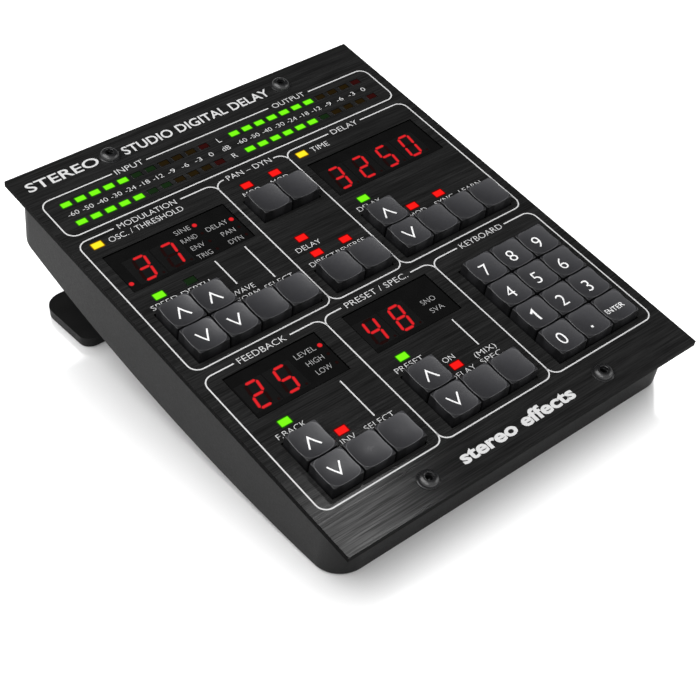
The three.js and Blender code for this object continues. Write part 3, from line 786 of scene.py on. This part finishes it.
METER_LIT = {("input", 0): 5, ("input", 1): 5, ("output", 0): 6, ("output", 1): 7}
FIRST_AMBER, FIRST_RED = 7, 10
for side, start in METER_START.items():
    groups = {}
    for row, y in enumerate(METER_ROWS):
        for n in range(len(METER_SCALE)):
            if n < METER_LIT[side, row]:
                colour = "green"
            else:
                colour = ("green_off" if n < FIRST_AMBER else
                          "amber_off" if n < FIRST_RED else "red_off")
            groups.setdefault(colour, []).append((start + n * METER_PITCH, y))
    for colour, places in groups.items():
        lamp_piece(f"{side}_meter_{colour}", places, *METER_LENS, colour, colour == "green")

behind = {name: (key_centre["key_" + name][0], key_centre["key_" + name][1] + KEY_PITCH)
          for name in ("modulation_speed_up", "modulation_depth_up", "pan_dyn_pan_mod",
                       "pan_dyn_dyn_mod", "output_direct", "output_reverse", "delay_up",
                       "delay_mod", "delay_sync", "feedback_up", "feedback_invert",
                       "preset_up", "preset_delay_on")}
INDICATORS = {
    "green": [behind[n] for n in ("modulation_speed_up", "delay_up", "feedback_up", "preset_up")],
    "red": [behind[n] for n in (
        "pan_dyn_pan_mod", "pan_dyn_dyn_mod", "output_direct", "output_reverse", "delay_mod",
        "delay_sync", "feedback_invert", "preset_delay_on")] + [(62.1, 98.7)],
    "yellow": [(8.6, 129.1), (86.1, 129.1)],
    "green_off": [behind["modulation_depth_up"]],
}
for colour, places in INDICATORS.items():
    lamp_piece(f"indicators_{colour}", places, *INDICATOR_LENS, colour, colour != "green_off")


# ---------------------------------------------------------------- displays
SEGMENT_LIT = lamp_material("segment_lit", (0.92, 0.022, 0.028), (0.50, 0.008, 0.012), 0.82)
# Unlit segments glow faintly too: painted light standing in for their tint.
SEGMENT_OFF = lamp_material("segment_off", (0.03, 0.006, 0.005), (0.02, 0.003, 0.003), 0.4)
WINDOW_TOP = deck_box("window_delay")[1].z
BLOCK = (WINDOW_TOP - 0.005, WINDOW_TOP + 0.012)
SEGMENT = (WINDOW_TOP + 0.01, WINDOW_TOP + 0.035)
DIGIT = {"width": 4.95, "height": 10.2, "stroke": 1.0, "slant": math.tan(math.radians(7.6))}
SEGMENTS = {
    "a": ((0, 1), (1, 1)), "b": ((1, 1), (1, 0.5)), "c": ((1, 0.5), (1, 0)),
    "d": ((0, 0), (1, 0)), "e": ((0, 0.5), (0, 0)), "f": ((0, 1), (0, 0.5)),
    "g": ((0, 0.5), (1, 0.5)),
}
NUMERALS = {"0": "abcdef", "2": "abged", "3": "abgcd", "4": "fgbc", "5": "afgcd",
            "7": "abc", "8": "abcdefg"}


def add_segment(bm, x, y, segment):
    """One bar of a seven-segment numeral, pointed at both ends, leaning right."""
    stroke = DIGIT["stroke"]
    wide, tall = DIGIT["width"] - stroke, DIGIT["height"] - stroke
    (x0, y0), (x1, y1) = SEGMENTS[segment]
    start = Vector((x0 * wide, y0 * tall))
    end = Vector((x1 * wide, y1 * tall))
    along = (end - start).normalized()
    across = Vector((-along.y, along.x)) * stroke / 2
    gap = 0.16
    a, b = start + along * gap, end - along * gap
    tip = along * stroke / 2
    shape = [a, a + tip - across, b - tip - across, b, b - tip + across, a + tip + across]

    def lean(p):
        px, py = p.x - wide / 2, p.y - tall / 2
        return (x + px + py * DIGIT["slant"], y + py)

    outer = [lean(p) for p in shape]
    z0, z1 = SEGMENT
    low = [bm.verts.new((px, py, z0)) for px, py in outer]
    high = [bm.verts.new((px, py, z1)) for px, py in outer]
    ends = [bm.verts.new((*lean(a + tip), z1)), bm.verts.new((*lean(b - tip), z1))]
    layer = bm.verts.layers.float["glow"]
    for vert in low + high:
        vert[layer] = 0.4
    for vert in ends:
        vert[layer] = 1.0
    bm.faces.new(low[::-1])
    for i in range(6):
        j = (i + 1) % 6
        bm.faces.new((low[i], low[j], high[j], high[i]))
    bm.faces.new((high[0], high[1], ends[0]))
    bm.faces.new((high[1], high[2], ends[1], ends[0]))
    bm.faces.new((high[2], high[3], ends[1]))
    bm.faces.new((high[3], high[4], ends[1]))
    bm.faces.new((high[4], high[5], ends[0], ends[1]))
    bm.faces.new((high[5], high[0], ends[0]))


def add_dot(bm, x, y, radius):
    sides = 16
    z0, z1 = SEGMENT
    rim = [(x + radius * math.cos(2 * math.pi * i / sides),
            y + radius * math.sin(2 * math.pi * i / sides)) for i in range(sides)]
    inner = [((x + px) / 2, (y + py) / 2, z1) for px, py in rim]
    rings = add_loft(bm, [[(px, py, z0) for px, py in rim],
                          [(px, py, z1) for px, py in rim], inner])
    layer = bm.verts.layers.float["glow"]
    for ring in rings:
        for vert in ring:
            vert[layer] = 1.0 if ring is rings[-1] else 0.4


# Each display: its numerals and where they stand, dots (x, y, lit) and words (text, right
# end, baseline, width).
DISPLAYS = {
    "modulation": {
        "digits": [("3", 15.2), ("7", 25.1)], "y": 114.0,
        "dots": [(8.2, 110.5, True), (37.9, 120.8, True), (37.9, 116.75, False),
                 (37.9, 112.8, False), (37.9, 108.9, False), (49.0, 117.0, True),
                 (49.0, 113.05, False), (49.0, 109.2, False)],
        "words": [("SINE", 36.2, 119.9, 5.6), ("RAND", 36.0, 115.85, 5.6),
                  ("ENV", 35.9, 111.85, 4.7), ("TRIG", 36.0, 107.9, 5.3),
                  ("DELAY", 47.4, 116.05, 7.7), ("PAN", 47.3, 111.95, 4.8),
                  ("DYN", 47.3, 108.0, 4.9)]},
    "delay": {
        "digits": [("3", 89.8), ("2", 99.7), ("5", 109.55), ("0", 119.4)], "y": 113.9,
        "dots": [], "words": []},
    "feedback": {
        "digits": [("2", 13.85), ("5", 23.7)], "y": 56.6,
        "dots": [(39.45, 61.3, True), (39.45, 57.4, False), (39.45, 53.5, False)],
        "words": [("LEVEL", 37.6, 60.35, 7.2), ("HIGH", 37.6, 56.4, 5.9),
                  ("LOW", 37.6, 52.45, 5.4)]},
    "preset": {
        "digits": [("4", 56.5), ("8", 66.3)], "y": 56.6,
        "dots": [], "words": [("SNO", 80.4, 56.45, 5.2), ("SVA", 80.4, 52.5, 4.8)]},
}
BLOCK_HALF = (4.68, 5.4)
DECIMAL_POINT = (3.65, -4.55, 0.45)
LIT_DOT, DARK_DOT = 0.8, 0.55
WORD_RISE, WORD_HEIGHT = 0.15, 1.8
for name, display in DISPLAYS.items():
    blocks, words, lit, dark = (bmesh.new() for _ in range(4))
    for bm in (lit, dark):
        bm.verts.layers.float.new("glow")
    for numeral, x in display["digits"]:
        add_loft(blocks, [rounded_loop(*BLOCK_HALF, 0.12, z, 2, at=(x, display["y"]))
                          for z in BLOCK])
        for segment in SEGMENTS:
            target = lit if segment in NUMERALS[numeral] else dark
            add_segment(target, x, display["y"], segment)
        add_dot(dark, x + DECIMAL_POINT[0], display["y"] + DECIMAL_POINT[1], DECIMAL_POINT[2])
    for x, y, on in display["dots"]:
        add_dot(lit if on else dark, x, y, LIT_DOT if on else DARK_DOT)
    for text, x, y, width in display["words"]:
        add_text(words, text, x, y + WORD_RISE, WORD_HEIGHT, *SEGMENT, width=width,
                 weight=-0.014, align="right")
    finish_piece(f"display_face_{name}", blocks, MATERIALS["display_block"], "chassis")
    finish_piece(f"segments_lit_{name}", lit, SEGMENT_LIT, "chassis")
    finish_piece(f"segments_dark_{name}", dark, SEGMENT_OFF, "chassis")
    if display["words"]:
        finish_piece(f"display_words_{name}", words, DISPLAY_INK, "chassis")
    else:
        words.free()


# ---------------------------------------------------------------- panel screws
def screw_mesh(low, high):
    """A flanged button-head screw with a hexagon socket, about its own axis."""
    sides = 48
    head, top = (high.x - low.x) / 2, high.z

    def ring(radius, z):
        return [(radius * math.cos(2 * math.pi * i / sides),
                 radius * math.sin(2 * math.pi * i / sides), z) for i in range(sides)]

    def hexagon(size, z):
        loop = []
        for i in range(sides):
            turn = 2 * math.pi * i / sides
            reach = size / math.cos((turn % (math.pi / 3)) - math.pi / 6)
            loop.append((reach * math.cos(turn), reach * math.sin(turn), z))
        return loop

    shank, flat, dome, rim, across = 1.5, 1.4, 3.05, 0.42, 1.25
    loops = [ring(shank - 0.3, low.z), ring(shank, low.z + 0.3), ring(shank, 0.05),
             ring(head - 0.12, 0.05), ring(head, 0.14), ring(head - 0.05, 0.28),
             ring(dome + 0.05, rim - 0.04)]
    for i in range(1, 9):
        turn = math.pi / 2 * i / 8
        loops.append(ring(flat + (dome - flat) * math.cos(turn),
                          rim + (top - rim) * math.sin(turn)))
    loops += [hexagon(across + 0.1, top), hexagon(across, top - 0.1),
              hexagon(across, top - 1.1), ring(0.5, top - 1.3)]
    bm = bmesh.new()
    add_loft(bm, loops)
    bmesh.ops.recalc_face_normals(bm, faces=bm.faces)
    mesh = bpy.data.meshes.new("button_screw")
    bm.to_mesh(mesh)
    bm.free()
    mesh.transform(Matrix.Scale(MM, 4))
    mesh.materials.append(MATERIALS["black_steel"])
    mesh.shade_smooth()
    mesh.set_sharp_from_angle(angle=math.radians(32))
    return mesh


screws = sorted(n for n in nodes if n.startswith("panel_screw_"))
screw = screw_mesh(*deck_box(screws[0]))
for n, node in enumerate(screws):
    low, high = deck_box(node)
    middle = (low + high) / 2
    turn = Matrix.Rotation(math.radians(17 + 23 * n), 4, "Z")
    here = DECK @ Matrix.Translation((middle.x, middle.y, 0)) @ turn @ Matrix.Scale(1 / MM, 4)
    piece = place_piece("button_screw_" + node[12:], screw, here, "chassis")
    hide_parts(node)


# ---------------------------------------------------------------- carried-over CAD nodes
def dress(node, material, edge=0.0, limit=40):
    """Gives a CAD node its material and, with edge, rounds its sharp edges."""
    item = nodes[node]
    item.data.materials.clear()
    item.data.materials.append(MATERIALS[material])
    if not edge:
        return
    for face in item.data.polygons:
        face.use_smooth = True
    weld = item.modifiers.new("weld", "WELD")
    weld.merge_threshold = 0.002 * MM
    flat = item.modifiers.new("flat", "DECIMATE")
    flat.decimate_type = "DISSOLVE"
    flat.angle_limit = math.radians(0.5)
    bevel = item.modifiers.new("bevel", "BEVEL")
    bevel.width = edge * MM
    bevel.segments = 3
    bevel.limit_method = "ANGLE"
    bevel.angle_limit = math.radians(limit)
    bevel.use_clamp_overlap = True
    item.modifiers.new("normals", "WEIGHTED_NORMAL")


dress("front_panel", "anodised_panel", 0.1)
dress("lower_case", "case_plastic", 0.7)
dress("rear_stand", "case_plastic", 0.5)
dress("stand_pad", "foot_rubber", 0.2)
dress("usb_socket", "plated_steel", 0.08)
dress("circuit_board", "board")
for side in ("input", "output"):
    dress(f"{side}_meter_guide", "light_guide")
for name in DISPLAYS:
    dress(f"window_{name}", "smoked_window")
    dress(f"display_{name}", "display_block")
for side in ("left", "right"):
    dress(f"stand_screw_{side}", "black_steel", 0.15)
    dress(f"front_foot_{side}", "foot_rubber", 0.2)


# ---------------------------------------------------------------- floor, light and camera
def floor_material():
    """A white, glossy sweep that glows faintly, so that contact shadows stay soft."""
    look = Shader("studio_floor", roughness=0.3)
    look.put(look.bsdf, "Coat Weight", 1.0)
    look.put(look.bsdf, "Coat IOR", 1.9)
    look.put(look.bsdf, "Coat Roughness", 0.12)
    look.put(look.bsdf, "Emission Color", (1, 1, 1, 1))
    look.put(look.bsdf, "Emission Strength", 0.11)
    cloud = look.noise(0.004, 2.0)
    look.put(look.bsdf, "Base Color", look.ramp(cloud, (0.2, grey(0.92)), (0.8, grey(0.95))))
    return look.material


FLOOR_HALF = 6.0            # in metres
floor_mesh = bpy.data.meshes.new("floor")
floor_mesh.from_pydata(
    [(sx * FLOOR_HALF, sy * FLOOR_HALF, 0) for sx, sy in ((-1, -1), (1, -1), (1, 1), (-1, 1))],
    [], [(0, 1, 2, 3)])
floor_mesh.materials.append(floor_material())
floor = bpy.data.objects.new("floor", floor_mesh)
scene.collection.objects.link(floor)
floor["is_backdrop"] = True


def area_light(name, place, aim, width, height, power):
    data = bpy.data.lights.new(name, "AREA")
    data.shape = "RECTANGLE"
    data.size, data.size_y, data.energy = width, height, power
    lamp = bpy.data.objects.new(name, data)
    scene.collection.objects.link(lamp)
    lamp.location = place
    lamp.rotation_euler = (Vector(aim) - Vector(place)).to_track_quat("-Z", "Y").to_euler()
    return lamp


def receivers(name, lamps, state):
    """Makes lamps light only the floor (INCLUDE) or everything but the floor (EXCLUDE)."""
    group = bpy.data.collections.new(name)
    group.objects.link(floor)
    group.collection_objects[0].light_linking.link_state = state
    for lamp in lamps:
        lamp.light_linking.receiver_collection = group


receivers("all_but_floor", [
    area_light("overhead", (-0.75, 0.3, 1.45), (0, 0, 0), 1.4, 1.4, 19),
    area_light("front_left", (-1.3, -1.0, 1.3), (0, 0, 0), 1.2, 0.9, 10),
    area_light("right", (1.4, -0.9, 0.8), (0, 0, 0), 1.2, 0.9, 6),
], "EXCLUDE")
receivers("floor_only", [
    area_light("backdrop", (0.85, 1.03, 1.1), (0, 0, 0), 3.2, 2.4, 27),
    area_light("ceiling", (0.2, 0.3, 1.6), (0, 0, 0), 2.6, 2.6, 52),
], "INCLUDE")

# A narrow spot whose glare lies on the panel's near corner.
GLINT_WAY, GLINT_DISTANCE = Vector((0.428, 0.208, 0.880)), 0.6
corner = DECK @ Vector((4, 6, 0))
glint = bpy.data.lights.new("corner_glint", "SPOT")
glint.energy = 1.15
glint.spot_size = math.radians(6.4)
glint.spot_blend = 1.0
glint.shadow_soft_size = 0.012
lamp = bpy.data.objects.new("corner_glint", glint)
scene.collection.objects.link(lamp)
lamp.location = corner + GLINT_WAY * GLINT_DISTANCE
lamp.rotation_euler = (corner - lamp.location).to_track_quat("-Z", "Y").to_euler()

world = bpy.data.worlds.new("studio")
scene.world = world
world.use_nodes = True
tree = world.node_tree
background = tree.nodes["Background"]
source = tree.nodes.new("ShaderNodeTexCoord")


def sky_ramp(fac, *stops):
    node = tree.nodes.new("ShaderNodeValToRGB")
    tree.links.new(fac, node.inputs["Fac"])
    for element, (where, level) in zip(node.color_ramp.elements, stops):
        element.position = where
        element.color = (level, level, level, 1)
    return node.outputs["Color"]


# Bright at the horizon and on the left; dark behind and to the right.
DARK_WAY = (0.72, 0.46, 0.52)
split = tree.nodes.new("ShaderNodeSeparateXYZ")
tree.links.new(source.outputs["Generated"], split.inputs[0])
aside = tree.nodes.new("ShaderNodeVectorMath")
aside.operation = "DOT_PRODUCT"
tree.links.new(source.outputs["Generated"], aside.inputs[0])
aside.inputs[1].default_value = DARK_WAY
lighter = tree.nodes.new("ShaderNodeMath")
lighter.operation = "MAXIMUM"
tree.links.new(sky_ramp(split.outputs["Z"], (0.08, 0.95), (0.28, 0.0)), lighter.inputs[0])
tree.links.new(sky_ramp(aside.outputs["Value"], (0.15, 0.85), (0.68, 0.015)), lighter.inputs[1])
tree.links.new(lighter.outputs["Value"], background.inputs["Color"])
background.inputs["Strength"].default_value = 1.0

# The camera shows the panel's outline as the photo does; CAMERA_ROLL is in degrees.
CAMERA_AT, CAMERA_AIM = (-232.938, -284.751, 303.193), (-19.261, -25.591, 25.0)
CAMERA_ROLL = -0.499
camera_data = bpy.data.cameras.new("camera")
camera = bpy.data.objects.new("camera", camera_data)
scene.collection.objects.link(camera)
scene.camera = camera
camera_data.lens, camera_data.sensor_width = 77.3116, 36
camera_data.clip_start, camera_data.clip_end = 0.02, 50
camera.location = Vector(CAMERA_AT) * MM
target = Vector(CAMERA_AIM) * MM
view = (target - camera.location).to_track_quat("-Z", "Y")
roll = Matrix.Rotation(math.radians(CAMERA_ROLL), 4, "Z").to_quaternion()
camera.rotation_mode = "QUATERNION"
camera.rotation_quaternion = view @ roll
scene.view_settings.view_transform = "Standard"

# ---------------------------------------------------------------- bounds of the drawn pieces
low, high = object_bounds()
